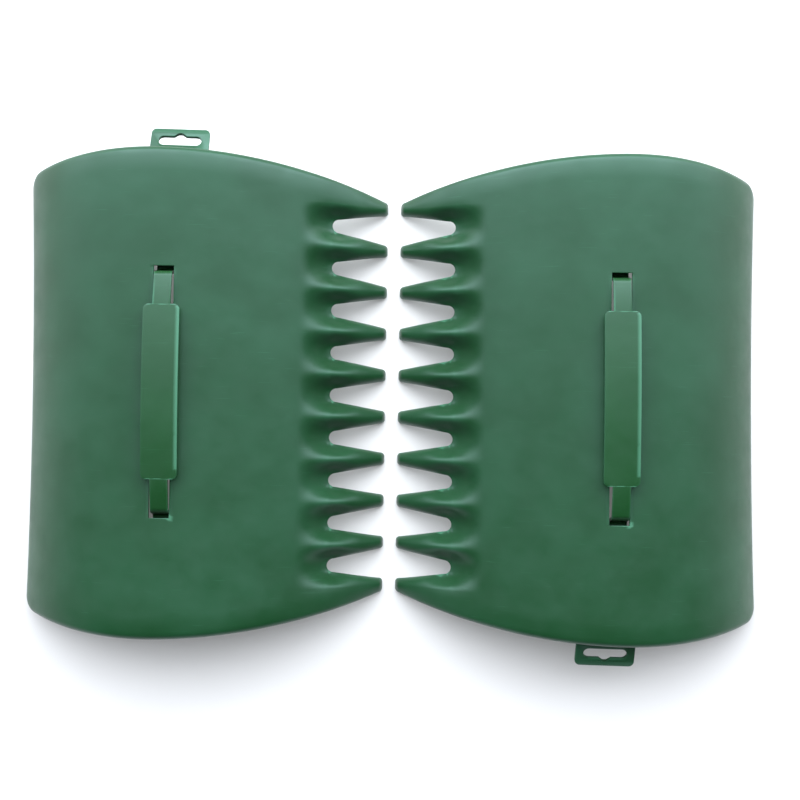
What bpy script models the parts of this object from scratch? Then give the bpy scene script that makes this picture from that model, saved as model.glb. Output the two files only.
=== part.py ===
"""Leaf grabber hands: a pair of identical plastic scoops, one for each hand.

Each hand is one arched moulding with ten hollow teeth along its front edge, a turned-down skirt
along its ends and back, a hanging tab on one end, and two long slots across its crown. A separate
flat strap lies over the crown. Its necks drop through the slots and end in T-heads, which are wider
than the slots and hold it under the shell.

The two hands lie on the ground, hollow side down, with their teeth facing each other. The right
hand is the left one turned half a turn about Z.
"""

import math

import bmesh
import bpy
from mathutils import Vector

MM = 0.001

# The arch of one hand, in its own frame: x runs from the back edge to the tips, y along the hand, z up.
REACH = 276.5 * MM
CROWN_X = 111.5 * MM
CROWN_Z = 74 * MM
BACK_Z = 12 * MM
TIP_Z = 6.1 * MM
WALL = 2.4 * MM

# The outline seen from above: two arcs that meet at the widest line, round back corners, and a back
# edge that bows in a little at its middle and lies a little further back at the hanging tab's end.
WIDEST_X = 101.5 * MM
WIDEST_HALF = 180.8 * MM
FRONT_OUTLINE_RADIUS = 521 * MM
BACK_OUTLINE_RADIUS = 362 * MM
CORNER_RADIUS = 9 * MM
BACK_BOW = 2.9 * MM
BACK_SKEW = 1.5 * MM
BOW_END_X = 95 * MM

# The rounded edge, the gentle fall beside it, and the skirt below it.
EDGE_RADIUS = 4 * MM
FALL_WIDTH = 18 * MM
FALL_DEPTH = 1.8 * MM
SKIRT_AT_BACK = 8 * MM
SKIRT_AT_CROWN = 16 * MM
SKIRT_END_X = 266 * MM

# The teeth.
TEETH = 10
PITCH = 32.3 * MM
RIPPLE_START_X = 211 * MM
NOTCH_X = 234.5 * MM
NOTCH_RADIUS = 5.2 * MM
ROOT_START_X = 220 * MM
VALLEY_DEPTH = 11.5 * MM
TIP_HALF = 4.9 * MM
TIP_RADIUS = 3 * MM
TIP_DEPTH = 5.2 * MM
OUTER_FLANK_START_X = 190 * MM
LAST_RIDGE = PITCH * (TEETH - 1) / 2

# The slots in the crown, and the strap through them.
STRAP_X = 114 * MM
SLOT_WIDTH = 15 * MM
SLOT_INNER_Y = 60 * MM
SLOT_OUTER_Y = 92.2 * MM
STRAP_THICKNESS = 2.4 * MM
GRIP_HALF_LENGTH = 63.4 * MM
GRIP_WIDTH = 26.4 * MM
GRIP_CORNER = 4 * MM
NECK_WIDTH = 13 * MM
SHOULDER_LIFT = 4 * MM
GRIP_RISE = 3 * MM
STRAP_TRAVEL = 8 * MM
HEAD_GAP = 1.0 * MM
NECK_SLOPE = math.radians(11)
NECK_DROP_SLOPE = math.radians(80)
NECK_DROP_Y = 86 * MM
NECK_BEND_RADIUS = 2.5 * MM
NECK_FOOT_RADIUS = 5 * MM
HEAD_INNER_Y = 95.5 * MM
HEAD_OUTER_Y = 104.5 * MM
HEAD_WIDTH = 26 * MM
# The straps lie a little askew and off centre, because their necks are narrower than the slots.
STRAP_SKEW = math.radians(0.25)
LEFT_STRAP_SHIFT = 0.1 * MM
RIGHT_STRAP_SHIFT = -0.25 * MM

# The hanging tab, and the slot for a peg through it.
TAB_X = 120 * MM
TAB_ROOT_Y = 179 * MM
TAB_ROOT_Z = 54 * MM
TAB_WIDTH = 44 * MM
TAB_LENGTH = 20.4 * MM
TAB_THICKNESS = 3 * MM
TAB_CORNER = 4 * MM
TAB_SLOPE = math.radians(-25)
TAB_TURN = math.radians(-1)
PEG_SLOT_WIDTH = 32 * MM
PEG_SLOT_HEIGHT = 8 * MM
PEG_SLOT_FROM_EDGE = 6.6 * MM
PEG_NOTCH_WIDTH = 9 * MM
PEG_NOTCH_HEIGHT = 2.6 * MM

TIP_GAP = 10 * MM
WELD = 0.01 * MM

BACK_DROP = CROWN_Z - BACK_Z
FRONT_DROP = CROWN_Z - TIP_Z
FRONT_RUN = REACH - CROWN_X
BACK_RADIUS = (CROWN_X**2 + BACK_DROP**2) / (2 * BACK_DROP)
FRONT_RADIUS = (FRONT_RUN**2 + FRONT_DROP**2) / (2 * FRONT_DROP)

GREEN = (0.045, 0.16, 0.085, 1.0)
STRAP_GREEN = (0.04, 0.17, 0.08, 1.0)


def clear_scene():
    for thing in list(bpy.data.objects):
        bpy.data.objects.remove(thing)


def collection(name):
    made = bpy.data.collections.new(name)
    bpy.context.scene.collection.children.link(made)
    return made


def plastic(name, colour, roughness):
    material = bpy.data.materials.new(name)
    material.use_nodes = True
    shader = material.node_tree.nodes["Principled BSDF"]
    shader.inputs["Base Color"].default_value = colour
    shader.inputs["Roughness"].default_value = roughness
    shader.inputs["Metallic"].default_value = 0.0
    return material


def smooth(t):
    """0 up to t = 0 and 1 from t = 1, with a smooth step between."""
    t = min(max(t, 0.0), 1.0)
    return t * t * (3 - 2 * t)


def sag(run, radius):
    """How far an arc of this radius falls over this run."""
    return radius - math.sqrt(radius**2 - run**2)


def arch_height(x):
    """The outer surface over x, before its edges and teeth."""
    if x < CROWN_X:
        return CROWN_Z - sag(CROWN_X - x, BACK_RADIUS)
    return CROWN_Z - sag(min(x - CROWN_X, FRONT_RUN), FRONT_RADIUS)


def side_half(x):
    """Half the hand's length at x, with its back corners square."""
    radius = FRONT_OUTLINE_RADIUS if x > WIDEST_X else BACK_OUTLINE_RADIUS
    return WIDEST_HALF - sag(abs(x - WIDEST_X), radius)


def outline_half(x):
    """Half the hand's length at x, with its back corners round and its outermost teeth pointed."""
    half = side_half(x)
    if x < CORNER_RADIUS:
        half -= sag(CORNER_RADIUS - x, CORNER_RADIUS)
    nose = x - (REACH - TIP_RADIUS)
    if nose > 0:
        open_share = 1 - sag(min(nose, TIP_RADIUS), TIP_RADIUS) / TIP_HALF
        half = LAST_RIDGE + (side_half(REACH - TIP_RADIUS) - LAST_RIDGE) * open_share
    return half


def bowed(point):
    """A point of the sheet, moved along x with the bow and the skew of the back edge."""
    across = point.y / WIDEST_HALF
    shift = BACK_BOW * (1 - across**2) - BACK_SKEW * across
    point.x += shift * (1 - smooth(point.x / BOW_END_X))
    return point


def edge_distance(x, y):
    """How far inside the outline a point lies."""
    across = side_half(x) - y
    if x < CORNER_RADIUS and across < CORNER_RADIUS:
        return CORNER_RADIUS - math.hypot(CORNER_RADIUS - x, CORNER_RADIUS - across)
    return min(x, across)


def edge_drop(distance, share):
    """How far the rounded edge and the gentle fall beside it lie below the arch."""
    radius = EDGE_RADIUS * share
    drop = FALL_DEPTH * share * max(0.0, 1 - distance / (FALL_WIDTH * share)) ** 2
    if distance < radius:
        drop += sag(radius - max(distance, 0.0), radius)
    return drop


def tooth_half(x):
    """Half a tooth's width: the teeth touch up to the notches, then taper to round tips."""
    if x <= NOTCH_X:
        return PITCH / 2
    if x < NOTCH_X + NOTCH_RADIUS:
        depth = NOTCH_RADIUS - (x - NOTCH_X)
        return PITCH / 2 - math.sqrt(NOTCH_RADIUS**2 - depth**2)
    taper_start = NOTCH_X + NOTCH_RADIUS
    taper_end = REACH - TIP_RADIUS
    if x < taper_end:
        root = PITCH / 2 - NOTCH_RADIUS
        return root + (TIP_HALF - root) * (x - taper_start) / (taper_end - taper_start)
    return TIP_HALF - sag(min(x - taper_end, TIP_RADIUS), TIP_RADIUS)


def flank_half(x):
    """The half width that a tooth's rounded section is drawn over, which narrows with no kink."""
    end = NOTCH_X + 2 * NOTCH_RADIUS
    if x <= ROOT_START_X or x >= end:
        return tooth_half(x)
    run, t = end - ROOT_START_X, (x - ROOT_START_X) / (end - ROOT_START_X)
    slope = (tooth_half(end + NOTCH_RADIUS) - tooth_half(end)) / NOTCH_RADIUS
    ease = smooth(t)
    return (1 - ease) * PITCH / 2 + ease * tooth_half(end) - t * t * (1 - t) * run * slope


def tooth_drop(x, share):
    """How far a tooth's flank lies below its ridge, share being 0 on the ridge and 1 at its edge."""
    share = min(1.0, share * tooth_half(x) / max(flank_half(x), WELD))
    depth = VALLEY_DEPTH * smooth((x - RIPPLE_START_X) / (NOTCH_X - RIPPLE_START_X))
    toward_tip = smooth((x - NOTCH_X) / (REACH - TIP_RADIUS - NOTCH_X))
    depth += (TIP_DEPTH - VALLEY_DEPTH) * toward_tip
    wave = (1 - math.cos(math.pi * share)) / 2
    vault = 1 - math.sqrt(1 - 0.96 * share**2)
    apart = smooth((x - NOTCH_X - NOTCH_RADIUS / 2) / (4 * NOTCH_RADIUS))
    drop = depth * (wave + (vault / 0.8 - wave) * apart)
    nose = x - (REACH - TIP_RADIUS)
    if nose > 0:
        closing = sag(min(nose, TIP_RADIUS), TIP_RADIUS) / TIP_RADIUS
        drop += (TIP_DEPTH - drop) * closing
    return drop


# The extra row or column that is the skirt's lower edge.
BELOW = -1


def skirt_depth(x):
    """How far the skirt hangs below the rounded edge."""
    if x < CROWN_X:
        return SKIRT_AT_BACK + (SKIRT_AT_CROWN - SKIRT_AT_BACK) * smooth(x / CROWN_X)
    return SKIRT_AT_CROWN * (1 - smooth((x - CROWN_X) / (SKIRT_END_X - CROWN_X)))


def row_places():
    """Where the rows of the shell's grid stand along x: closer together where the shape turns."""
    places = [0, 0.8 * MM, 2.4 * MM, 5 * MM, CORNER_RADIUS]
    back_rows, front_rows, ripple_rows, taper_rows, turn_rows = 7, 6, 5, 3, 3
    start = CORNER_RADIUS
    places += [start + (CROWN_X - start) * (i + 1) / back_rows for i in range(back_rows)]
    run = RIPPLE_START_X - CROWN_X
    places += [CROWN_X + run * (i + 1) / front_rows for i in range(front_rows)]
    run = NOTCH_X - RIPPLE_START_X
    places += [RIPPLE_START_X + run * (i + 1) / ripple_rows for i in range(ripple_rows)]
    turns = [math.pi / 2 * (i + 1) / turn_rows for i in range(turn_rows)]
    places += [NOTCH_X + NOTCH_RADIUS * (1 - math.cos(turn)) for turn in turns]
    start, end = NOTCH_X + NOTCH_RADIUS, REACH - TIP_RADIUS
    places += [start + (end - start) * (i + 1) / taper_rows for i in range(taper_rows)]
    places += [end + TIP_RADIUS * math.sin(turn) for turn in turns]
    return places


def add_strip(mesh, rows, columns, place):
    """A grid of rows by columns, with each of its points moved to place(row, column)."""
    across, along = len(columns) - 1, len(rows) - 1
    made = bmesh.ops.create_grid(mesh, x_segments=along, y_segments=across, size=1.0)
    for vertex in made["verts"]:
        row = round((vertex.co.x + 1) / 2 * along)
        column = round((vertex.co.y + 1) / 2 * across)
        vertex.co = place(rows[row], columns[column])


def add_half_tooth(mesh, rows, ridge, side):
    """The surface from one tooth's ridge to the valley beside it, from the back skirt to the tip."""

    def place(row, share):
        x = max(row, 0)
        drop = tooth_drop(x, share) + edge_drop(x, 1.0)
        z = 0.0 if row == BELOW else arch_height(x) - drop
        return Vector((x, ridge + side * share * tooth_half(x), z))

    add_strip(mesh, [BELOW, *rows], [0, 0.36, 0.7, 1], place)


def add_end(mesh, rows, side):
    """The surface from the outermost ridge to the outline, with the skirt that hangs from it."""
    in_from_edge = [0, 0.15 * EDGE_RADIUS, 0.55 * EDGE_RADIUS, EDGE_RADIUS, FALL_WIDTH / 2, FALL_WIDTH]
    full_width = FALL_WIDTH * 1.33

    def place(row, column):
        x = max(row, 0)
        half = outline_half(x)
        room = half - LAST_RIDGE
        share = min(1.0, room / full_width)
        if column is None:
            y, across = LAST_RIDGE, 0.0
        else:
            y = half - max(column, 0) * share
            across = (y - LAST_RIDGE) / max(room, WELD)
        full = 1.0 if x < CROWN_X else max(share, 0.1)
        drop = edge_drop(max(edge_distance(x, y), 0.0), full)
        flank = smooth((x - OUTER_FLANK_START_X) / (REACH - TIP_RADIUS - OUTER_FLANK_START_X))
        drop += flank * (TIP_DEPTH - edge_drop(0, full)) * across**2
        nose = x - (REACH - TIP_RADIUS)
        if nose > 0:
            closing = sag(min(nose, TIP_RADIUS), TIP_RADIUS) / TIP_RADIUS
            drop += (TIP_DEPTH - drop) * closing
        z = arch_height(x) - drop
        if column == BELOW:
            z = max(0.0, z - skirt_depth(x))
        if row == BELOW:
            z = 0.0
        return Vector((x, side * y, z))

    add_strip(mesh, [BELOW, *rows], [BELOW, *in_from_edge, None], place)


def shell_surface():
    """The outer surface of one hand, as one open sheet."""
    mesh = bmesh.new()
    rows = row_places()
    ridges = [PITCH * (i - (TEETH - 1) / 2) for i in range(TEETH)]
    for ridge in ridges[:-1]:
        add_half_tooth(mesh, rows, ridge, 1)
    for ridge in ridges[1:]:
        add_half_tooth(mesh, rows, ridge, -1)
    for side in (-1, 1):
        add_end(mesh, rows, side)
    bmesh.ops.remove_doubles(mesh, verts=mesh.verts, dist=WELD)
    for vertex in mesh.verts:
        vertex.co = bowed(vertex.co)
    flat = math.radians(0.3)
    bmesh.ops.dissolve_limit(
        mesh, angle_limit=flat, verts=mesh.verts, edges=mesh.edges, use_dissolve_boundaries=False
    )
    bmesh.ops.triangulate(mesh, faces=mesh.faces)
    bmesh.ops.recalc_face_normals(mesh, faces=mesh.faces)
    crown_face = max(mesh.faces, key=lambda face: face.calc_center_median().z)
    if crown_face.normal.z < 0:
        bmesh.ops.reverse_faces(mesh, faces=mesh.faces)
    data = bpy.data.meshes.new("scoop_shell")
    mesh.to_mesh(data)
    mesh.free()
    return data


def rounded_corners(corners, radius, steps=4):
    """The points of a closed outline whose corners, in turning order, are rounded to this radius."""
    points = []
    for i, corner in enumerate(corners):
        corner = Vector(corner)
        to_last = (Vector(corners[i - 1]) - corner).normalized()
        to_next = (Vector(corners[(i + 1) % len(corners)]) - corner).normalized()
        half_angle = to_last.angle(to_next) / 2
        reach = radius / math.tan(half_angle)
        centre = corner + (to_last + to_next).normalized() * radius / math.sin(half_angle)
        first = corner + to_last * reach - centre
        last = corner + to_next * reach - centre
        for step in range(steps + 1):
            points.append(centre + first.slerp(last, step / steps).normalized() * radius)
    return points


def add_outline(curve, points):
    spline = curve.splines.new("POLY")
    spline.points.add(len(points) - 1)
    for point, place in zip(spline.points, points):
        point.co = (place[0], place[1], 0, 1)
    spline.use_cyclic_u = True


def flat_plate(name, outlines, thickness):
    """A plate with the first outline round it and the others as holes, as a closed mesh object."""
    curve = bpy.data.curves.new(name, "CURVE")
    curve.dimensions = "2D"
    curve.fill_mode = "BOTH"
    curve.extrude = thickness / 2
    for points in outlines:
        add_outline(curve, points)
    drawn = bpy.data.objects.new(name + "_outline", curve)
    bpy.context.scene.collection.objects.link(drawn)
    graph = bpy.context.evaluated_depsgraph_get()
    data = bpy.data.meshes.new_from_object(drawn.evaluated_get(graph))
    bpy.data.objects.remove(drawn)
    mesh = bmesh.new()
    mesh.from_mesh(data)
    bmesh.ops.remove_doubles(mesh, verts=mesh.verts, dist=WELD)
    bmesh.ops.recalc_face_normals(mesh, faces=mesh.faces)
    mesh.to_mesh(data)
    mesh.free()
    return bpy.data.objects.new(name, data)


def peg_slot_outline():
    """The hanging hole: a long slot with round ends and a small pointed notch towards the tab's edge."""
    radius = PEG_SLOT_HEIGHT / 2
    end = PEG_SLOT_WIDTH / 2 - radius
    middle = TAB_LENGTH - PEG_SLOT_FROM_EDGE - radius
    turns = [math.pi / 2 - math.pi * i / 8 for i in range(9)]
    right = [(end + radius * math.cos(a), middle + radius * math.sin(a)) for a in turns]
    left = [(-x, y) for x, y in reversed(right)]
    top = middle + radius
    notch = [
        (-PEG_NOTCH_WIDTH / 2, top),
        (-PEG_NOTCH_WIDTH / 8, top + PEG_NOTCH_HEIGHT),
        (PEG_NOTCH_WIDTH / 8, top + PEG_NOTCH_HEIGHT),
        (PEG_NOTCH_WIDTH / 2, top),
    ]
    return right + left + notch


def hanging_tab():
    """The tab on one end of the shell, sloping down and outwards from the skirt."""
    half = TAB_WIDTH / 2
    corners = [(-half, 0), (half, 0), (half, TAB_LENGTH), (-half, TAB_LENGTH)]
    rounded = rounded_corners(corners, TAB_CORNER)
    outer = corners[:2] + rounded[len(rounded) // 2 :]
    tab = flat_plate("tab_helper", [outer, peg_slot_outline()], TAB_THICKNESS)
    tab.location = (TAB_X, TAB_ROOT_Y, TAB_ROOT_Z)
    tab.rotation_euler = (TAB_SLOPE, 0, TAB_TURN)
    return tab


def slot_cutter(side):
    """The block that cuts one strap slot through the crown."""
    bpy.ops.mesh.primitive_cube_add(size=1.0)
    cutter = bpy.context.object
    cutter.name = "slot_cutter_" + ("back" if side < 0 else "front")
    middle = (SLOT_INNER_Y + SLOT_OUTER_Y) / 2
    cutter.location = (STRAP_X, side * middle, CROWN_Z)
    cutter.scale = (SLOT_WIDTH, SLOT_OUTER_Y - SLOT_INNER_Y, 20 * MM)
    return cutter


def as_helper(thing, helpers):
    for holder in list(thing.users_collection):
        holder.objects.unlink(thing)
    helpers.objects.link(thing)
    thing.hide_render = True
    thing.display_type = "WIRE"


def add_boolean(thing, operation, other):
    modifier = thing.modifiers.new(other.name, "BOOLEAN")
    modifier.operation = operation
    modifier.object = other


def baked_mesh(thing, name):
    """The mesh that an object's modifiers make of it."""
    bpy.context.view_layer.update()
    graph = bpy.context.evaluated_depsgraph_get()
    data = bpy.data.meshes.new_from_object(thing.evaluated_get(graph))
    data.name = name
    return data


def shell_mesh(helpers):
    """One hand's whole moulding: the sheet thickened, its tab added and its slots cut."""
    blank = bpy.data.objects.new("shell_blank", shell_surface())
    as_helper(blank, helpers)
    thicken = blank.modifiers.new("wall", "SOLIDIFY")
    thicken.thickness = WALL
    thicken.offset = -1.0
    thicken.use_even_offset = True
    thicken.use_quality_normals = True
    tab = hanging_tab()
    as_helper(tab, helpers)
    add_boolean(blank, "UNION", tab)
    for side in (-1, 1):
        cutter = slot_cutter(side)
        as_helper(cutter, helpers)
        add_boolean(blank, "DIFFERENCE", cutter)
    return baked_mesh(blank, "scoop_moulding")


def strap_stations():
    """The strap from its middle to one end, as (y, z of its underside, half its width)."""
    shoulder_z = CROWN_Z + SHOULDER_LIFT
    grip_radius = (GRIP_HALF_LENGTH**2 + GRIP_RISE**2) / (2 * GRIP_RISE)
    head_z = CROWN_Z - WALL - STRAP_TRAVEL - HEAD_GAP - STRAP_THICKNESS
    half, narrow = GRIP_WIDTH / 2, NECK_WIDTH / 2

    def grip_z(y):
        return shoulder_z + GRIP_RISE - sag(y, grip_radius)

    straight = GRIP_HALF_LENGTH - GRIP_CORNER
    stations = [(straight * i / 8, grip_z(straight * i / 8), half) for i in range(9)]
    for turn in (30, 60, 90):
        angle = math.radians(turn)
        y = straight + GRIP_CORNER * math.sin(angle)
        stations.append((y, grip_z(y), half - GRIP_CORNER * (1 - math.cos(angle))))
    stations.append((GRIP_HALF_LENGTH + WELD * 3, grip_z(GRIP_HALF_LENGTH), narrow))
    y, z = NECK_DROP_Y, shoulder_z
    bend_run = NECK_BEND_RADIUS * (math.sin(NECK_DROP_SLOPE) - math.sin(NECK_SLOPE))
    z -= (y - bend_run - GRIP_HALF_LENGTH) * math.tan(NECK_SLOPE)
    for step in range(4):
        turn = NECK_SLOPE + (NECK_DROP_SLOPE - NECK_SLOPE) * step / 3
        across = math.sin(NECK_DROP_SLOPE) - math.sin(turn)
        fall = math.cos(NECK_SLOPE) - math.cos(turn)
        stations.append((y - NECK_BEND_RADIUS * across, z - NECK_BEND_RADIUS * fall, narrow))
    z -= NECK_BEND_RADIUS * (math.cos(NECK_SLOPE) - math.cos(NECK_DROP_SLOPE))
    foot_z = head_z + NECK_FOOT_RADIUS * (1 - math.cos(NECK_DROP_SLOPE))
    y += (z - foot_z) / math.tan(NECK_DROP_SLOPE) + NECK_FOOT_RADIUS * math.sin(NECK_DROP_SLOPE)
    for step in range(4):
        turn = NECK_DROP_SLOPE * (1 - step / 3)
        low = NECK_FOOT_RADIUS * (1 - math.cos(turn))
        stations.append((y - NECK_FOOT_RADIUS * math.sin(turn), head_z + low, narrow))
    stations.append((HEAD_INNER_Y, head_z, narrow))
    stations.append((HEAD_INNER_Y + WELD * 3, head_z, HEAD_WIDTH / 2))
    stations.append((HEAD_OUTER_Y, head_z, HEAD_WIDTH / 2))
    return stations


def strap_mesh():
    """The strap's underside as a bent band about x = 0, for Solidify to thicken upwards."""
    half = strap_stations()
    stations = [(-y, z, width) for y, z, width in reversed(half[1:])] + half
    mesh = bmesh.new()
    add_strip(
        mesh, stations, [-1, 1], lambda at, side: Vector((side * at[2], at[0], at[1]))
    )
    bmesh.ops.recalc_face_normals(mesh, faces=mesh.faces)
    if sum(face.normal.z for face in mesh.faces) < 0:
        bmesh.ops.reverse_faces(mesh, faces=mesh.faces)
    data = bpy.data.meshes.new("strap_band")
    mesh.to_mesh(data)
    mesh.free()
    return data


def add_hand(name, turn, shell, strap, shift, materials, parts):
    """One hand about the middle of the pair: an empty turned by half a turn for the right one."""
    pivot = bpy.data.objects.new(name + "_hand", None)
    pivot.rotation_euler.z = turn
    parts.objects.link(pivot)
    body = bpy.data.objects.new(name + "_scoop", shell)
    body.location = (-REACH - TIP_GAP / 2, 0, 0)
    band = bpy.data.objects.new(name + "_strap", strap)
    band.location = (STRAP_X - REACH - TIP_GAP / 2 + shift, 0, 0)
    band.rotation_euler.z = STRAP_SKEW
    thicken = band.modifiers.new("thickness", "SOLIDIFY")
    thicken.thickness = STRAP_THICKNESS
    thicken.offset = 1.0
    thicken.use_even_offset = True
    for thing, material in ((body, materials[0]), (band, materials[1])):
        thing.parent = pivot
        thing.data.materials.clear()
        thing.data.materials.append(material)
        parts.objects.link(thing)


clear_scene()
parts = collection("leaf_grabber_hands")
helpers = collection("helpers")
materials = (plastic("scoop_green", GREEN, 0.42), plastic("strap_green", STRAP_GREEN, 0.5))
shell = shell_mesh(helpers)
strap = strap_mesh()
add_hand("left", 0.0, shell, strap, LEFT_STRAP_SHIFT, materials, parts)
add_hand("right", math.pi, shell, strap, RIGHT_STRAP_SHIFT, materials, parts)
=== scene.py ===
import math

import bmesh
import bpy
from mathutils import Euler, Matrix, Vector


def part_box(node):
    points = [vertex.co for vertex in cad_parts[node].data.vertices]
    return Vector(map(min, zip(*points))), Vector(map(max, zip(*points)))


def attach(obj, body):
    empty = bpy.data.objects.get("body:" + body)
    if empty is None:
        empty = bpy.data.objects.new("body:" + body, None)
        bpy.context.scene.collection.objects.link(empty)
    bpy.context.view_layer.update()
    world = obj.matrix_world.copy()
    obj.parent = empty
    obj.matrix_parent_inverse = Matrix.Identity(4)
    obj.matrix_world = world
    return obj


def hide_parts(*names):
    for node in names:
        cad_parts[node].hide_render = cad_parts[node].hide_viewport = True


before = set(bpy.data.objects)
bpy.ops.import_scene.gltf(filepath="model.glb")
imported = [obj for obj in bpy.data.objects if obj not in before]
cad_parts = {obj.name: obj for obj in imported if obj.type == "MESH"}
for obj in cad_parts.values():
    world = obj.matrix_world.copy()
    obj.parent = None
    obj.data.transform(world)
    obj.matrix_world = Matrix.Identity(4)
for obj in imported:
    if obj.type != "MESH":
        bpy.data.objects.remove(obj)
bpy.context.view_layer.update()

# The scoops. Each hand is one injection-moulded polypropylene shell: an arched sheet with a rolled
# rim, ten ridged teeth that the sheet ripples into, and a skirt turned down along back and ends.
# One shape serves both hands, and the right one is the left one turned half a turn.
MM = 0.001
REACH = 276.5 * MM
CROWN_X, CROWN_Z = 111.5 * MM, 74 * MM
BACK_Z, TIP_Z = 12 * MM, 6.1 * MM
WALL = 2.4 * MM
WIDEST_X, WIDEST_HALF = 101.5 * MM, 180.8 * MM
FRONT_OUTLINE_RADIUS, BACK_OUTLINE_RADIUS = 521 * MM, 362 * MM
CORNER_RADIUS = 9 * MM
BACK_BOW, BACK_SKEW, BOW_END_X = 2.9 * MM, 1.5 * MM, 95 * MM
EDGE_RADIUS = 4 * MM
FALL_WIDTH, FALL_DEPTH = 18 * MM, 1.8 * MM
END_FALL_WIDTH = 1.33 * FALL_WIDTH
SKIRT_AT_BACK, SKIRT_AT_CROWN, SKIRT_END_X = 8 * MM, 16 * MM, 266 * MM
TEETH, PITCH = 10, 32.3 * MM
LAST_RIDGE = PITCH * (TEETH - 1) / 2
RIPPLE_START_X, ROOT_START_X = 211 * MM, 220 * MM
NOTCH_X, NOTCH_RADIUS = 234.5 * MM, 5.2 * MM
VALLEY_DEPTH, TIP_DEPTH, TIP_HALF, TIP_RADIUS = 11.5 * MM, 5.2 * MM, 4.9 * MM, 3 * MM
TIP_START_X = REACH - TIP_RADIUS
VAULT_ROUNDNESS = 0.96
OUTER_FLANK_START_X = 190 * MM
STRAP_X, SLOT_WIDTH = 114 * MM, 15 * MM
SLOT_INNER_Y, SLOT_OUTER_Y = 60 * MM, 92.2 * MM
WELD = 0.01 * MM
CREASE_ANGLE, HARD_EDGE_ANGLE = math.radians(50), math.radians(38)
SHELL_SOFTENING = 0.45 * MM
BAY_COLUMNS, RIM_COLUMNS = 8, 6
BELOW = -1


def smooth(t):
    t = min(max(t, 0.0), 1.0)
    return t * t * (3 - 2 * t)


def sag(run, radius):
    """How far a circle of this radius falls below its top, this far along."""
    return radius - math.sqrt(max(radius**2 - run**2, 0.0))


def spread(start, end, count, ease=None):
    """The places after start, up to end: evenly spaced, or closer together where ease is flat."""
    shares = [(i + 1) / count for i in range(count)]
    return [start + (end - start) * (ease(t) if ease else t) for t in shares]


def opening_turn(t):
    return 1 - math.cos(t * math.pi / 2)


def closing_turn(t):
    return math.sin(t * math.pi / 2)


BACK_DROP, FRONT_DROP, FRONT_RUN = CROWN_Z - BACK_Z, CROWN_Z - TIP_Z, REACH - CROWN_X
BACK_RADIUS = (CROWN_X**2 + BACK_DROP**2) / (2 * BACK_DROP)
FRONT_RADIUS = (FRONT_RUN**2 + FRONT_DROP**2) / (2 * FRONT_DROP)


def arch_height(x):
    """The sheet's height along its middle: one arc down to the back, a flatter one to the tips."""
    if x < CROWN_X:
        return CROWN_Z - sag(CROWN_X - x, BACK_RADIUS)
    return CROWN_Z - sag(min(x - CROWN_X, FRONT_RUN), FRONT_RADIUS)


def side_half(x):
    """Half the scoop's width, before its corners and its outermost teeth are rounded."""
    radius = FRONT_OUTLINE_RADIUS if x > WIDEST_X else BACK_OUTLINE_RADIUS
    return WIDEST_HALF - sag(abs(x - WIDEST_X), radius)


def nose_share(x):
    """1 up to the round nose of a tooth's tip, falling to 0 at its end."""
    run = min(max(x - TIP_START_X, 0.0), TIP_RADIUS)
    return 1 - sag(run, TIP_RADIUS) / TIP_RADIUS


def blunt_share(x):
    """1 up to the nose, falling to the share of a tooth's width that its blunt end keeps."""
    return 1 - (1 - nose_share(x)) * TIP_RADIUS / TIP_HALF


def outline_half(x):
    half = side_half(min(x, TIP_START_X))
    if x < CORNER_RADIUS:
        half -= sag(CORNER_RADIUS - x, CORNER_RADIUS)
    return LAST_RIDGE + (half - LAST_RIDGE) * blunt_share(x)


def edge_distance(x, y):
    """How far a point lies in from the rim, round the corner at the back too."""
    across = side_half(x) - y
    if x < CORNER_RADIUS and across < CORNER_RADIUS:
        return CORNER_RADIUS - math.hypot(CORNER_RADIUS - x, CORNER_RADIUS - across)
    return min(x, across)


def edge_drop(distance, share):
    """How far the sheet falls toward the rim: a long slope and then a round edge."""
    radius = EDGE_RADIUS * share
    drop = FALL_DEPTH * share * max(0.0, 1 - distance / (FALL_WIDTH * share)) ** 2
    if distance < radius:
        drop += sag(radius - max(distance, 0.0), radius)
    return drop


def tooth_half(x):
    """Half the width of the plastic of one tooth, up to half the pitch behind the gaps."""
    if x <= NOTCH_X:
        return PITCH / 2
    if x < NOTCH_X + NOTCH_RADIUS:
        depth = NOTCH_RADIUS - (x - NOTCH_X)
        return PITCH / 2 - math.sqrt(NOTCH_RADIUS**2 - depth**2)
    taper_start = NOTCH_X + NOTCH_RADIUS
    if x < TIP_START_X:
        root = PITCH / 2 - NOTCH_RADIUS
        return root + (TIP_HALF - root) * (x - taper_start) / (TIP_START_X - taper_start)
    return TIP_HALF * blunt_share(x)


def flank_half(x):
    """The half width that a tooth's rounded section is drawn over, which narrows with no kink."""
    end = NOTCH_X + 2 * NOTCH_RADIUS
    if x <= ROOT_START_X or x >= end:
        return tooth_half(x)
    run, t = end - ROOT_START_X, (x - ROOT_START_X) / (end - ROOT_START_X)
    slope = (tooth_half(end + NOTCH_RADIUS) - tooth_half(end)) / NOTCH_RADIUS
    ease = smooth(t)
    return (1 - ease) * PITCH / 2 + ease * tooth_half(end) - t * t * (1 - t) * run * slope


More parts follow.
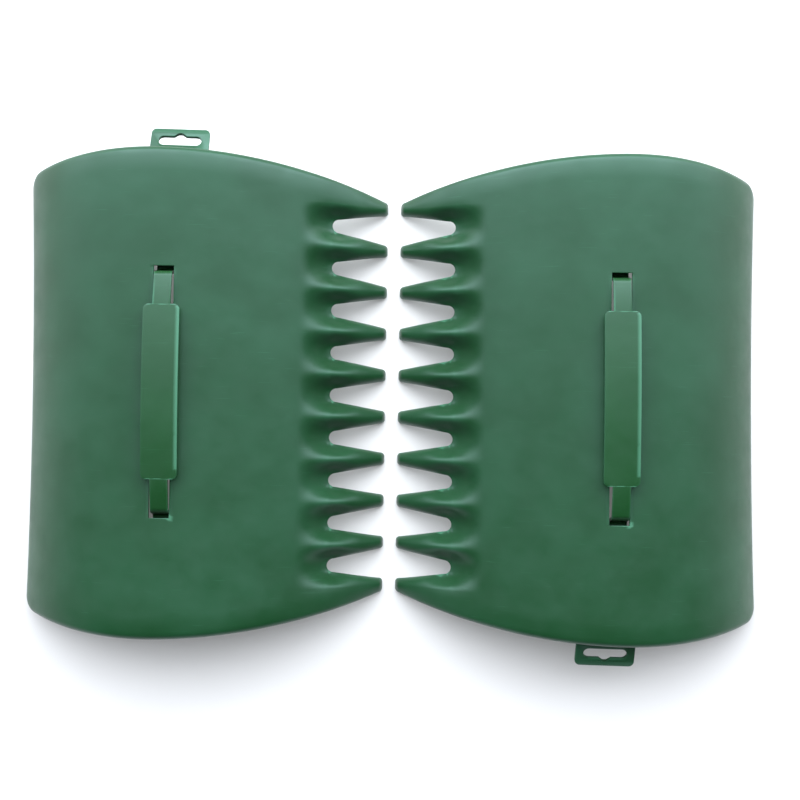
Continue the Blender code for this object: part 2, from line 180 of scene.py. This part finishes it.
def tooth_drop(x, share):
    """How far the sheet lies below a ridge: ripples behind the gaps, round vaults on the teeth."""
    share = min(1.0, share * tooth_half(x) / max(flank_half(x), WELD))
    depth = VALLEY_DEPTH * smooth((x - RIPPLE_START_X) / (NOTCH_X - RIPPLE_START_X))
    toward_tip = smooth((x - NOTCH_X) / (TIP_START_X - NOTCH_X))
    depth += (TIP_DEPTH - VALLEY_DEPTH) * toward_tip
    wave = (1 - math.cos(math.pi * share)) / 2
    vault = 1 - math.sqrt(1 - VAULT_ROUNDNESS * share**2)
    vault /= 1 - math.sqrt(1 - VAULT_ROUNDNESS)
    apart = smooth((x - NOTCH_X - NOTCH_RADIUS / 2) / (4 * NOTCH_RADIUS))
    drop = depth * (wave + (vault - wave) * apart)
    return TIP_DEPTH + (drop - TIP_DEPTH) * nose_share(x)


def skirt_depth(x):
    """How far the ends' skirt turns down: deepest at the crown, nothing near the tips."""
    if x < CROWN_X:
        return SKIRT_AT_BACK + (SKIRT_AT_CROWN - SKIRT_AT_BACK) * smooth(x / CROWN_X)
    return SKIRT_AT_CROWN * (1 - smooth((x - CROWN_X) / (SKIRT_END_X - CROWN_X)))


def row_places():
    """The places of the sheet's rows from back to tips, closer together where it curves more."""
    slot_back, slot_front = STRAP_X - SLOT_WIDTH / 2, STRAP_X + SLOT_WIDTH / 2
    places = [0.0] + spread(0, EDGE_RADIUS, 6, opening_turn)
    places += spread(EDGE_RADIUS, CORNER_RADIUS, 4) + spread(CORNER_RADIUS, FALL_WIDTH, 5)
    places += spread(FALL_WIDTH, slot_back, 26) + spread(slot_back, slot_front, 5)
    places += spread(slot_front, RIPPLE_START_X, 22) + spread(RIPPLE_START_X, NOTCH_X, 16)
    places += spread(NOTCH_X, NOTCH_X + NOTCH_RADIUS, 8, opening_turn)
    places += spread(NOTCH_X + NOTCH_RADIUS, TIP_START_X, 14)
    return places + spread(TIP_START_X, REACH, 8, closing_turn)


def grid_object(name, rows, columns, place):
    """A Blender grid, rows by columns, with each point moved to place(row, column)."""
    mesh = bmesh.new()
    along, across = len(rows) - 1, len(columns) - 1
    made = bmesh.ops.create_grid(mesh, x_segments=along, y_segments=across, size=1.0)
    for vertex in made["verts"]:
        row = rows[round((vertex.co.x + 1) / 2 * along)]
        vertex.co = place(row, columns[round((vertex.co.y + 1) / 2 * across)])
    data = bpy.data.meshes.new(name)
    mesh.to_mesh(data)
    mesh.free()
    made = bpy.data.objects.new(name, data)
    bpy.context.scene.collection.objects.link(made)
    return made


def half_bay_point(row, share):
    """A point of the sheet from a ridge, where share is 0, to the middle of the bay beside it."""
    x = max(row, 0)
    drop = tooth_drop(x, share) + edge_drop(x, 1.0)
    y = share * tooth_half(x) - PITCH / 2
    return Vector((x, y, 0.0 if row == BELOW else arch_height(x) - drop))


def end_point(row, column):
    """A point of the sheet between the outermost ridge and the rim, column being its inset."""
    x = max(row, 0)
    half = outline_half(x)
    room = half - LAST_RIDGE
    share = min(1.0, room / END_FALL_WIDTH)
    y = LAST_RIDGE if column is None else half - max(column, 0) * share
    full = 1.0 if x < CROWN_X else max(share, 0.1)
    drop = edge_drop(max(edge_distance(x, y), 0.0), full)
    flank = smooth((x - OUTER_FLANK_START_X) / (TIP_START_X - OUTER_FLANK_START_X))
    across = (y - LAST_RIDGE) / max(room, WELD)
    drop += flank * (TIP_DEPTH - edge_drop(0, full)) * across**2
    drop = TIP_DEPTH + (drop - TIP_DEPTH) * nose_share(x)
    z = arch_height(x) - drop
    if column == BELOW:
        z = max(0.0, z - skirt_depth(x))
    return Vector((x, y, 0.0 if row == BELOW else z))


def add_input(tree, name, kind, value=None):
    socket = tree.interface.new_socket(name, in_out="INPUT", socket_type=kind)
    if value is not None:
        socket.default_value = value


def set_input(modifier, name, value):
    """A modifier's named input, set by its socket's identifier."""
    for item in modifier.node_group.interface.items_tree:
        if item.item_type == "SOCKET" and item.in_out == "INPUT" and item.name == name:
            modifier[item.identifier] = value


def tree_node(tree, kind, **values):
    node = tree.nodes.new(kind)
    for name, value in values.items():
        node.inputs[name.replace("_", " ")].default_value = value
    return node


def row_of_bays_tree():
    """Bays in a row, one end panel at each side of them, welded into one sheet."""
    tree = bpy.data.node_groups.new("row_of_bays", "GeometryNodeTree")
    add_input(tree, "Half Bay", "NodeSocketGeometry")
    add_input(tree, "End", "NodeSocketObject")
    add_input(tree, "Bays", "NodeSocketInt", 9)
    add_input(tree, "Pitch", "NodeSocketFloat", 0.03)
    add_input(tree, "Weld", "NodeSocketFloat", 0.00001)
    add_input(tree, "Finish", "NodeSocketMaterial")
    tree.interface.new_socket("Sheet", in_out="OUTPUT", socket_type="NodeSocketGeometry")
    link = tree.links.new
    given, result = tree.nodes.new("NodeGroupInput"), tree.nodes.new("NodeGroupOutput")

    less_one = tree_node(tree, "ShaderNodeMath")
    less_one.operation = "SUBTRACT"
    less_one.inputs[1].default_value = 1.0
    first = tree_node(tree, "ShaderNodeMath")
    first.operation = "MULTIPLY"
    half_back = tree_node(tree, "ShaderNodeMath")
    half_back.operation = "MULTIPLY"
    half_back.inputs[1].default_value = -0.5
    start, step = tree.nodes.new("ShaderNodeCombineXYZ"), tree.nodes.new("ShaderNodeCombineXYZ")
    line = tree.nodes.new("GeometryNodeMeshLine")
    line.mode = "OFFSET"
    bays = tree.nodes.new("GeometryNodeInstanceOnPoints")
    link(given.outputs["Bays"], less_one.inputs[0])
    link(less_one.outputs[0], first.inputs[0])
    link(given.outputs["Pitch"], first.inputs[1])
    link(first.outputs[0], half_back.inputs[0])
    link(half_back.outputs[0], start.inputs["Y"])
    link(given.outputs["Pitch"], step.inputs["Y"])
    link(given.outputs["Bays"], line.inputs["Count"])
    link(start.outputs[0], line.inputs["Start Location"])
    link(step.outputs[0], line.inputs["Offset"])
    link(line.outputs["Mesh"], bays.inputs["Points"])
    other_half = tree_node(tree, "GeometryNodeTransform", Scale=(1, -1, 1))
    whole_bay = tree.nodes.new("GeometryNodeJoinGeometry")
    link(given.outputs["Half Bay"], other_half.inputs["Geometry"])
    link(given.outputs["Half Bay"], whole_bay.inputs["Geometry"])
    link(other_half.outputs["Geometry"], whole_bay.inputs["Geometry"])
    link(whole_bay.outputs["Geometry"], bays.inputs["Instance"])

    end = tree.nodes.new("GeometryNodeObjectInfo")
    mirrored = tree_node(tree, "GeometryNodeTransform", Scale=(1, -1, 1))
    joined = tree.nodes.new("GeometryNodeJoinGeometry")
    real = tree.nodes.new("GeometryNodeRealizeInstances")
    welded = tree.nodes.new("GeometryNodeMergeByDistance")
    finished = tree.nodes.new("GeometryNodeSetMaterial")
    link(given.outputs["End"], end.inputs["Object"])
    link(end.outputs["Geometry"], mirrored.inputs["Geometry"])
    for part in (bays.outputs["Instances"], end.outputs["Geometry"], mirrored.outputs["Geometry"]):
        link(part, joined.inputs["Geometry"])
    link(joined.outputs["Geometry"], real.inputs["Geometry"])
    link(real.outputs["Geometry"], welded.inputs["Geometry"])
    link(given.outputs["Weld"], welded.inputs["Distance"])
    link(welded.outputs["Geometry"], finished.inputs["Geometry"])
    link(given.outputs["Finish"], finished.inputs["Material"])
    link(finished.outputs["Geometry"], result.inputs["Sheet"])
    return tree


def baked(thing, name):
    """The mesh that an object's modifiers make of it. The object itself is removed."""
    bpy.context.view_layer.update()
    graph = bpy.context.evaluated_depsgraph_get()
    data = bpy.data.meshes.new_from_object(thing.evaluated_get(graph))
    data.name = name
    bpy.data.objects.remove(thing)
    return data


def mix_colour(nodes, links, factor, low, high):
    mixer = nodes.new("ShaderNodeMix")
    mixer.data_type = "RGBA"
    links.new(factor, mixer.inputs["Factor"])
    for name, value in (("A", low), ("B", high)):
        socket = next(s for s in mixer.inputs if s.name == name and s.type == "RGBA")
        if isinstance(value, tuple):
            socket.default_value = value
        else:
            links.new(value, socket)
    return next(s for s in mixer.outputs if s.type == "RGBA")


def noise(nodes, links, place, scale, detail=3.0, roughness=0.5):
    made = nodes.new("ShaderNodeTexNoise")
    made.inputs["Scale"].default_value = scale
    made.inputs["Detail"].default_value = detail
    made.inputs["Roughness"].default_value = roughness
    links.new(place, made.inputs["Vector"])
    return made.outputs["Fac"]


def ramp(nodes, links, value, low, high, out_low=0.0, out_high=1.0):
    made = nodes.new("ShaderNodeMapRange")
    for name, number in (
        ("From Min", low), ("From Max", high), ("To Min", out_low), ("To Max", out_high)
    ):
        made.inputs[name].default_value = number
    links.new(value, made.inputs["Value"])
    return made.outputs["Result"]


CLOUD_SCALE, PATCH_SCALE, WAVE_SCALE, GRAIN_SCALE = 22, 60, 34, 2600
SCRATCH_STRETCH, SCRATCH_TURN = (40, 900, 40), (0, 0, 0.4)
GRAIN_HEIGHT, WAVE_HEIGHT, WAVE_STRENGTH = 0.08 * MM, 0.6 * MM, 0.5
# How far sharp convex edges are paled: partly wear, partly a painted highlight along the edges.
EDGE_WEAR_AND_HIGHLIGHT, SCRATCH_WEAR = 0.7, 0.14


def moulded_plastic(name, deep, pale, worn_and_highlight, roughness, grain):
    """Satin moulded polypropylene: a fine sparked grain, clouded colour, scuffs, and edges paled by
    wear and a painted highlight.
    """
    material = bpy.data.materials.new(name)
    material.use_nodes = True
    nodes, links = material.node_tree.nodes, material.node_tree.links
    shader = nodes["Principled BSDF"]
    place = nodes.new("ShaderNodeTexCoord").outputs["Object"]

    clouds = ramp(nodes, links, noise(nodes, links, place, CLOUD_SCALE, 4), 0.35, 0.68)
    colour = mix_colour(nodes, links, clouds, deep, pale)
    geometry = nodes.new("ShaderNodeNewGeometry")
    # Convex edges, found by pointiness, go towards the worn colour: partly edge wear, partly a
    # painted highlight on rims, slot edges and strap outlines.
    edges = ramp(nodes, links, geometry.outputs["Pointiness"], 0.515, 0.58, 0.0, EDGE_WEAR_AND_HIGHLIGHT)
    colour = mix_colour(nodes, links, edges, colour, worn_and_highlight)

    drawn_out = nodes.new("ShaderNodeMapping")
    drawn_out.inputs["Scale"].default_value = SCRATCH_STRETCH
    drawn_out.inputs["Rotation"].default_value = SCRATCH_TURN
    links.new(place, drawn_out.inputs["Vector"])
    scratches = noise(nodes, links, drawn_out.outputs["Vector"], 1.0, 2)
    scratches = ramp(nodes, links, scratches, 0.68, 0.76, 0.0, SCRATCH_WEAR)
    colour = mix_colour(nodes, links, scratches, colour, worn_and_highlight)
    links.new(colour, shader.inputs["Base Color"])

    patches = noise(nodes, links, place, PATCH_SCALE, 5, 0.6)
    gloss = ramp(nodes, links, patches, 0.3, 0.7, roughness - 0.05, roughness + 0.06)
    links.new(gloss, shader.inputs["Roughness"])
    shader.inputs["Specular IOR Level"].default_value = 0.39
    shader.inputs["Specular Tint"].default_value = (0.78, 1.0, 1.0, 1)
    shader.inputs["IOR"].default_value = 1.49

    sparked = noise(nodes, links, place, GRAIN_SCALE, 2, 0.6)
    wavy = noise(nodes, links, place, WAVE_SCALE, 2)
    fine = nodes.new("ShaderNodeBump")
    fine.inputs["Strength"].default_value = grain
    fine.inputs["Distance"].default_value = GRAIN_HEIGHT
    links.new(sparked, fine.inputs["Height"])
    broad = nodes.new("ShaderNodeBump")
    broad.inputs["Strength"].default_value = WAVE_STRENGTH
    broad.inputs["Distance"].default_value = WAVE_HEIGHT
    links.new(wavy, broad.inputs["Height"])
    links.new(fine.outputs["Normal"], broad.inputs["Normal"])
    links.new(broad.outputs["Normal"], shader.inputs["Normal"])
    return material


SCOOP_DEEP, SCOOP_PALE = (0.0052, 0.036, 0.0095, 1), (0.0093, 0.0475, 0.017, 1)
# A paler green for scuffs and worn edges, which also paints a highlight along convex edges.
SCOOP_WORN_AND_HIGHLIGHT = (0.05, 0.16, 0.09, 1)
scoop_plastic = moulded_plastic("scoop_plastic", SCOOP_DEEP, SCOOP_PALE, SCOOP_WORN_AND_HIGHLIGHT, 0.36, 0.35)

rows = row_places()
bay_shares = [i / BAY_COLUMNS for i in range(BAY_COLUMNS + 1)]
rim_columns = [0.0] + spread(0, EDGE_RADIUS, RIM_COLUMNS, opening_turn)
rim_columns += spread(EDGE_RADIUS, FALL_WIDTH, RIM_COLUMNS)
end_panel = grid_object("end_panel", [BELOW] + rows, [BELOW] + rim_columns + [None], end_point)
sheet = grid_object("half_bay", [BELOW] + rows, bay_shares, half_bay_point)
row_of_bays = sheet.modifiers.new("row_of_bays", "NODES")
row_of_bays.node_group = row_of_bays_tree()
for name, value in (
    ("End", end_panel), ("Bays", TEETH - 1), ("Pitch", PITCH), ("Weld", WELD),
    ("Finish", scoop_plastic),
):
    set_input(row_of_bays, name, value)
sheet_mesh = baked(sheet, "scoop_sheet")
bpy.data.objects.remove(end_panel)


def cut_slot(mesh, side):
    """Takes one strap slot out of the open sheet."""
    low, high = sorted((side * SLOT_INNER_Y, side * SLOT_OUTER_Y))

    def in_rows():
        return [f for f in mesh.faces if abs(f.calc_center_median().x - STRAP_X) < SLOT_WIDTH / 2
                and f.calc_center_median().z > CROWN_Z / 2]

    for y in (low, high):
        faces = in_rows()
        edges = {edge for face in faces for edge in face.edges}
        verts = {vertex for face in faces for vertex in face.verts}
        bmesh.ops.bisect_plane(
            mesh, geom=[*verts, *edges, *faces], plane_co=(0, y, 0), plane_no=(0, 1, 0)
        )
    inside = [f for f in in_rows() if low < f.calc_center_median().y < high]
    bmesh.ops.delete(mesh, geom=inside, context="FACES")


mesh = bmesh.new()
mesh.from_mesh(sheet_mesh)
for vertex in mesh.verts:
    across = vertex.co.y / WIDEST_HALF
    shift = BACK_BOW * (1 - across**2) - BACK_SKEW * across
    vertex.co.x += shift * (1 - smooth(vertex.co.x / BOW_END_X))
for side in (-1, 1):
    cut_slot(mesh, side)
bmesh.ops.recalc_face_normals(mesh, faces=mesh.faces)
if max(mesh.faces, key=lambda face: face.calc_center_median().z).normal.z < 0:
    bmesh.ops.reverse_faces(mesh, faces=mesh.faces)
mesh.to_mesh(sheet_mesh)
mesh.free()

blank = bpy.data.objects.new("scoop_blank", sheet_mesh)
bpy.context.scene.collection.objects.link(blank)
wall = blank.modifiers.new("wall", "SOLIDIFY")
wall.thickness = WALL
wall.offset = -1.0
wall.use_even_offset = True
wall.use_quality_normals = True
softened = blank.modifiers.new("softened_edges", "BEVEL")
softened.width = SHELL_SOFTENING
softened.segments = 2
softened.limit_method = "ANGLE"
softened.angle_limit = CREASE_ANGLE
shell_mesh = baked(blank, "scoop_shell")

# The hanging tab. It is part of the same moulding: a flat plate that slopes down and out from the
# skirt at one end, with a slot for a shop's display peg and a small pointed notch over its middle.
TAB_X, TAB_ROOT_Y, TAB_ROOT_Z = 120 * MM, 179 * MM, 54 * MM
TAB_WIDTH, TAB_LENGTH, TAB_THICKNESS, TAB_CORNER = 44 * MM, 20.4 * MM, 3 * MM, 4 * MM
TAB_SLOPE, TAB_TURN = math.radians(-25), math.radians(-1)
PEG_SLOT_WIDTH, PEG_SLOT_HEIGHT, PEG_SLOT_FROM_EDGE = 32 * MM, 8 * MM, 6.6 * MM
PEG_NOTCH_WIDTH, PEG_NOTCH_HEIGHT = 9 * MM, 2.6 * MM
TAB_SOFTENING = 0.5 * MM


def arc(centre_x, centre_y, radius, start, end, steps):
    turns = [math.radians(start + (end - start) * i / steps) for i in range(steps + 1)]
    return [(centre_x + radius * math.cos(a), centre_y + radius * math.sin(a)) for a in turns]


def tab_outline():
    half, corner = TAB_WIDTH / 2, TAB_CORNER
    across, out = half - corner, TAB_LENGTH - corner
    return (
        [(-half, 0), (half, 0)] + arc(across, out, corner, 0, 90, 10)
        + arc(-across, out, corner, 90, 180, 10)
    )


def peg_slot_outline():
    radius = PEG_SLOT_HEIGHT / 2
    end = PEG_SLOT_WIDTH / 2 - radius
    middle = TAB_LENGTH - PEG_SLOT_FROM_EDGE - radius
    notch = [
        (-PEG_NOTCH_WIDTH / 2, middle + radius),
        (-PEG_NOTCH_WIDTH / 8, middle + radius + PEG_NOTCH_HEIGHT),
        (PEG_NOTCH_WIDTH / 8, middle + radius + PEG_NOTCH_HEIGHT),
        (PEG_NOTCH_WIDTH / 2, middle + radius),
    ]
    return arc(end, middle, radius, 90, -90, 16) + arc(-end, middle, radius, 270, 90, 16) + notch


def plate(name, outlines, thickness, softening):
    """A flat plate: the first outline round it, the others its holes, its edges softened."""
    curve = bpy.data.curves.new(name, "CURVE")
    curve.dimensions = "2D"
    curve.fill_mode = "BOTH"
    curve.extrude = thickness / 2
    for points in outlines:
        spline = curve.splines.new("POLY")
        spline.points.add(len(points) - 1)
        for point, place in zip(spline.points, points):
            point.co = (place[0], place[1], 0, 1)
        spline.use_cyclic_u = True
    drawn = bpy.data.objects.new(name, curve)
    bpy.context.scene.collection.objects.link(drawn)
    data = baked(drawn, name)
    mesh = bmesh.new()
    mesh.from_mesh(data)
    bmesh.ops.remove_doubles(mesh, verts=mesh.verts, dist=WELD)
    bmesh.ops.dissolve_limit(
        mesh, angle_limit=math.radians(1), verts=mesh.verts, edges=mesh.edges
    )
    bmesh.ops.recalc_face_normals(mesh, faces=mesh.faces)
    mesh.to_mesh(data)
    mesh.free()
    made = bpy.data.objects.new(name, data)
    bpy.context.scene.collection.objects.link(made)
    rounded = made.modifiers.new("rounded", "BEVEL")
    rounded.width = softening
    rounded.segments = 2
    rounded.limit_method = "ANGLE"
    rounded.angle_limit = CREASE_ANGLE
    return made


tab_outlines = [tab_outline(), peg_slot_outline()]
tab = plate("hanging_tab", tab_outlines, TAB_THICKNESS, TAB_SOFTENING)
tab_mesh = baked(tab, "hanging_tab")
place = Matrix.Translation((TAB_X, TAB_ROOT_Y, TAB_ROOT_Z))
tab_mesh.transform(place @ Euler((TAB_SLOPE, 0, TAB_TURN)).to_matrix().to_4x4())
tab_mesh.materials.append(scoop_plastic)
tab = bpy.data.objects.new("hanging_tab", tab_mesh)
body = bpy.data.objects.new("scoop_body", shell_mesh)
for thing in (tab, body):
    bpy.context.scene.collection.objects.link(thing)
moulded_on = body.modifiers.new("moulded_on", "BOOLEAN")
moulded_on.operation = "UNION"
moulded_on.object = tab
moulding_mesh = baked(body, "scoop_moulding")
bpy.data.objects.remove(tab)


def smoothed(data):
    """Shades a mesh smooth, apart from its hard edges."""
    data.shade_smooth()
    data.set_sharp_from_angle(angle=HARD_EDGE_ANGLE)


def placed_copy(name, data, place):
    made = bpy.data.objects.new(name, data.copy())
    made.data.transform(place)
    bpy.context.scene.collection.objects.link(made)
    return made


HALF_TURN = Matrix.Rotation(math.pi, 4, "Z")
hand_places = {
    "left": Matrix.Translation((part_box("left_scoop")[1].x - REACH, 0, 0)),
    "right": Matrix.Translation((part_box("right_scoop")[0].x + REACH, 0, 0)) @ HALF_TURN,
}
smoothed(moulding_mesh)
for side, place in hand_places.items():
    scoop = placed_copy(side + "_scoop_moulding", moulding_mesh, place)
    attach(scoop, side + "_hand")
    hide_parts(side + "_scoop")

# The straps. Each is one springy polypropylene band, bowed over the crown: a flat grip with rounded
# shoulders, and two narrow necks that drop through the slots and end in T-heads under the shell.
STRAP_THICKNESS = 2.4 * MM
GRIP_HALF_LENGTH, GRIP_WIDTH, GRIP_CORNER = 63.4 * MM, 26.4 * MM, 4 * MM
NECK_WIDTH, NECK_DROP_Y = 13 * MM, 86 * MM
NECK_SLOPE, NECK_DROP_SLOPE = math.radians(11), math.radians(80)
NECK_BEND_RADIUS, NECK_FOOT_RADIUS = 2.5 * MM, 5 * MM
SHOULDER_LIFT, GRIP_RISE = 4 * MM, 3 * MM
STRAP_TRAVEL, HEAD_GAP = 8 * MM, 1 * MM
HEAD_INNER_Y, HEAD_OUTER_Y, HEAD_WIDTH = 95.5 * MM, 104.5 * MM, 26 * MM
STRAP_SKEW = math.radians(0.25)
STRAP_SOFTENING = 0.6 * MM
STRAP_DEEP, STRAP_PALE = (0.0035, 0.035, 0.0055, 1), (0.006, 0.044, 0.0095, 1)
strap_plastic = moulded_plastic("strap_plastic", STRAP_DEEP, STRAP_PALE, SCOOP_WORN_AND_HIGHLIGHT, 0.4, 0.3)


def strap_stations():
    """The strap's underside from its middle to one end, as (y, z, half width)."""
    shoulder_z = CROWN_Z + SHOULDER_LIFT
    grip_radius = (GRIP_HALF_LENGTH**2 + GRIP_RISE**2) / (2 * GRIP_RISE)
    head_z = CROWN_Z - WALL - STRAP_TRAVEL - HEAD_GAP - STRAP_THICKNESS
    half, narrow = GRIP_WIDTH / 2, NECK_WIDTH / 2
    straight = GRIP_HALF_LENGTH - GRIP_CORNER
    stations = []
    for y in [0.0] + spread(0, straight, 24):
        stations.append((y, shoulder_z + GRIP_RISE - sag(y, grip_radius), half))
    for y in spread(straight, GRIP_HALF_LENGTH, 7, closing_turn):
        inset = sag(y - straight, GRIP_CORNER)
        stations.append((y, shoulder_z + GRIP_RISE - sag(y, grip_radius), half - inset))
    stations.append((GRIP_HALF_LENGTH + 3 * WELD, shoulder_z, narrow))
    y, z = NECK_DROP_Y, shoulder_z
    bend_run = NECK_BEND_RADIUS * (math.sin(NECK_DROP_SLOPE) - math.sin(NECK_SLOPE))
    z -= (y - bend_run - GRIP_HALF_LENGTH) * math.tan(NECK_SLOPE)
    for turn in [NECK_SLOPE] + spread(NECK_SLOPE, NECK_DROP_SLOPE, 8):
        across = math.sin(NECK_DROP_SLOPE) - math.sin(turn)
        fall = math.cos(NECK_SLOPE) - math.cos(turn)
        stations.append((y - NECK_BEND_RADIUS * across, z - NECK_BEND_RADIUS * fall, narrow))
    z -= NECK_BEND_RADIUS * (math.cos(NECK_SLOPE) - math.cos(NECK_DROP_SLOPE))
    foot_z = head_z + NECK_FOOT_RADIUS * (1 - math.cos(NECK_DROP_SLOPE))
    y += (z - foot_z) / math.tan(NECK_DROP_SLOPE) + NECK_FOOT_RADIUS * math.sin(NECK_DROP_SLOPE)
    for turn in [NECK_DROP_SLOPE] + spread(NECK_DROP_SLOPE, 0, 8):
        low = NECK_FOOT_RADIUS * (1 - math.cos(turn))
        stations.append((y - NECK_FOOT_RADIUS * math.sin(turn), head_z + low, narrow))
    stations.append((HEAD_INNER_Y, head_z, narrow))
    stations.append((HEAD_INNER_Y + 3 * WELD, head_z, HEAD_WIDTH / 2))
    stations.append((HEAD_OUTER_Y, head_z, HEAD_WIDTH / 2))
    return stations


half_band = strap_stations()
stations = [(-y, z, width) for y, z, width in reversed(half_band[1:])] + half_band
across = [-1 + i / 4 for i in range(9)]
band = grid_object("band", stations, across, lambda at, side: Vector((side * at[2], at[0], at[1])))
mesh = bmesh.new()
mesh.from_mesh(band.data)
bmesh.ops.recalc_face_normals(mesh, faces=mesh.faces)
if sum(face.normal.z for face in mesh.faces) < 0:
    bmesh.ops.reverse_faces(mesh, faces=mesh.faces)
mesh.to_mesh(band.data)
mesh.free()
thickened = band.modifiers.new("thickness", "SOLIDIFY")
thickened.thickness = STRAP_THICKNESS
thickened.offset = 1.0
thickened.use_even_offset = True
rolled = band.modifiers.new("rolled_edges", "BEVEL")
rolled.width = STRAP_SOFTENING
rolled.segments = 3
rolled.limit_method = "ANGLE"
rolled.angle_limit = CREASE_ANGLE
band.data.materials.append(strap_plastic)
band_mesh = baked(band, "strap_band")
smoothed(band_mesh)
for side, turn in (("left", 0.0), ("right", math.pi)):
    low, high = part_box(side + "_strap")
    middle = Matrix.Translation(((low.x + high.x) / 2, (low.y + high.y) / 2, 0))
    turned = Matrix.Rotation(turn + STRAP_SKEW, 4, "Z")
    strap = placed_copy(side + "_hand_strap", band_mesh, middle @ turned)
    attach(strap, side + "_band")
    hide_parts(side + "_strap")

# The studio. A plain white floor with a faint glow, that keeps its shadows light, one broad softbox
# beyond the far end of the hands, so the satin plastic pales towards that end, and a wide pale wall
# of light on that side of the room, with a dim room on the near side.
FLOOR_RADIUS, FLOOR_DROP, FLOOR_GLOW = 25.0, 0.2 * MM, 0.12
FAR_GLOW, ROOM_GLOW, HORIZON_GLOW, FAR_EDGE_SHARE = 5.4, 0.06, 0.95, 0.17
SOFTBOX_PLACE, SOFTBOX_AIM, SOFTBOX_WATTS = (0, 0.85, 0.7), (0, 0.05, 0), 19
floor_material = bpy.data.materials.new("studio_floor")
floor_material.use_nodes = True
floor_shader = floor_material.node_tree.nodes["Principled BSDF"]
floor_shader.inputs["Base Color"].default_value = (0.575, 0.56, 0.53, 1)
floor_shader.inputs["Roughness"].default_value = 0.9
floor_shader.inputs["Emission Color"].default_value = (1, 0.995, 0.98, 1)
floor_shader.inputs["Emission Strength"].default_value = FLOOR_GLOW
floor_mesh = bpy.data.meshes.new("studio_floor")
mesh = bmesh.new()
bmesh.ops.create_circle(mesh, cap_ends=True, segments=96, radius=FLOOR_RADIUS)
mesh.to_mesh(floor_mesh)
mesh.free()
floor_mesh.materials.append(floor_material)
floor = bpy.data.objects.new("studio_floor", floor_mesh)
floor.location.z = -FLOOR_DROP
bpy.context.scene.collection.objects.link(floor)

world = bpy.data.worlds.new("studio")
world.use_nodes = True
world_nodes, world_links = world.node_tree.nodes, world.node_tree.links
direction = world_nodes.new("ShaderNodeSeparateXYZ")
world_links.new(world_nodes.new("ShaderNodeTexCoord").outputs["Generated"], direction.inputs[0])


def world_maths(operation, first, second):
    made = world_nodes.new("ShaderNodeMath")
    made.operation = operation
    world_links.new(first, made.inputs[0])
    world_links.new(second, made.inputs[1])
    return made.outputs[0]


toward_far, upward = direction.outputs["Y"], direction.outputs["Z"]
far_side = ramp(world_nodes, world_links, toward_far, -0.10, 0.42, ROOM_GLOW, FAR_GLOW)
far_edge = ramp(world_nodes, world_links, toward_far, 0.55, 0.95, 1.0, FAR_EDGE_SHARE)
horizon = ramp(world_nodes, world_links, upward, 0.0, 0.45, HORIZON_GLOW, 0.0)
far_light = world_maths("MULTIPLY", far_side, far_edge)
brightness = world_maths("MAXIMUM", far_light, horizon)
world_links.new(brightness, world_nodes["Background"].inputs["Strength"])
world_nodes["Background"].inputs["Color"].default_value = (0.94, 1.0, 1.12, 1)
bpy.context.scene.world = world
bpy.context.scene.view_settings.view_transform = "Standard"

softbox = bpy.data.lights.new("far_softbox", "AREA")
softbox.shape = "RECTANGLE"
softbox.size, softbox.size_y = 2.0, 0.5
softbox.energy = SOFTBOX_WATTS
softbox.color = (0.92, 1.0, 1.08)
stood = bpy.data.objects.new("far_softbox", softbox)
stood.location = SOFTBOX_PLACE
aim = Vector(SOFTBOX_AIM) - Vector(SOFTBOX_PLACE)
stood.rotation_euler = aim.to_track_quat("-Z", "Y").to_euler()
bpy.context.scene.collection.objects.link(stood)

# The camera. It looks down on the pair from about 1.1 m above the floor, with a lens a little
# longer than normal, leaning and turned by a degree or two.
CAMERA_PLACE = (0.0091, -0.0147, 1.0997)
CAMERA_TILT, CAMERA_LEAN, CAMERA_ROLL = 0.0323, 0.0027, 0.0161
LENS, SENSOR_WIDTH, LENS_SHIFT_Y = 63.375, 36, -0.0375
camera_data = bpy.data.cameras.new("camera")
camera_data.lens = LENS
camera_data.sensor_width = SENSOR_WIDTH
camera_data.shift_y = LENS_SHIFT_Y
camera_data.clip_start, camera_data.clip_end = 0.01, 50
camera = bpy.data.objects.new("camera", camera_data)
turn = Matrix.Rotation(CAMERA_TILT, 3, "X") @ Matrix.Rotation(CAMERA_LEAN, 3, "Y")
camera.rotation_euler = (turn @ Matrix.Rotation(CAMERA_ROLL, 3, "Z")).to_euler()
camera.location = CAMERA_PLACE
bpy.context.scene.collection.objects.link(camera)
bpy.context.scene.camera = camera
